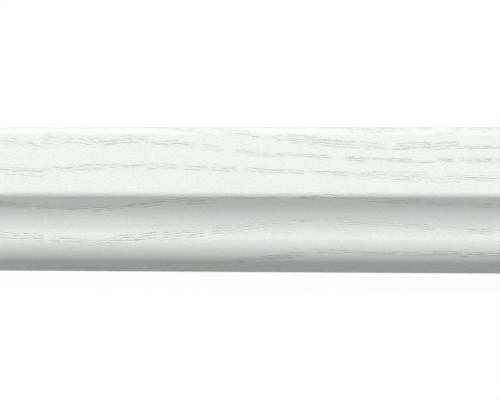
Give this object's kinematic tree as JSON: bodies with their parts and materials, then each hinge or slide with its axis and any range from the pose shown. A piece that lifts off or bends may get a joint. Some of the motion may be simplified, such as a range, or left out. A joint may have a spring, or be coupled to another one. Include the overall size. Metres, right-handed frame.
{
  "type": "cornice moulding",
  "caption": "Straight length of cornice moulding: an upright fascia over a cove and a roll, with a flat back and a narrow seat. It caps cabinets or the top of a wall.",
  "frame": {"origin": "middle of the flat back, which the moulding lies on when it is stored and is fixed by when it is fitted", "axes": "+X along the stock, +Y to the moulding's top edge, +Z out of its face, away from the back"},
  "size_m": [2.4, 0.05, 0.038],
  "materials": {
    "woodgrain_film": "matte"
  },
  "bodies": {
    "root": {"cornice_moulding": "woodgrain_film"}
  },
  "joints": []
}
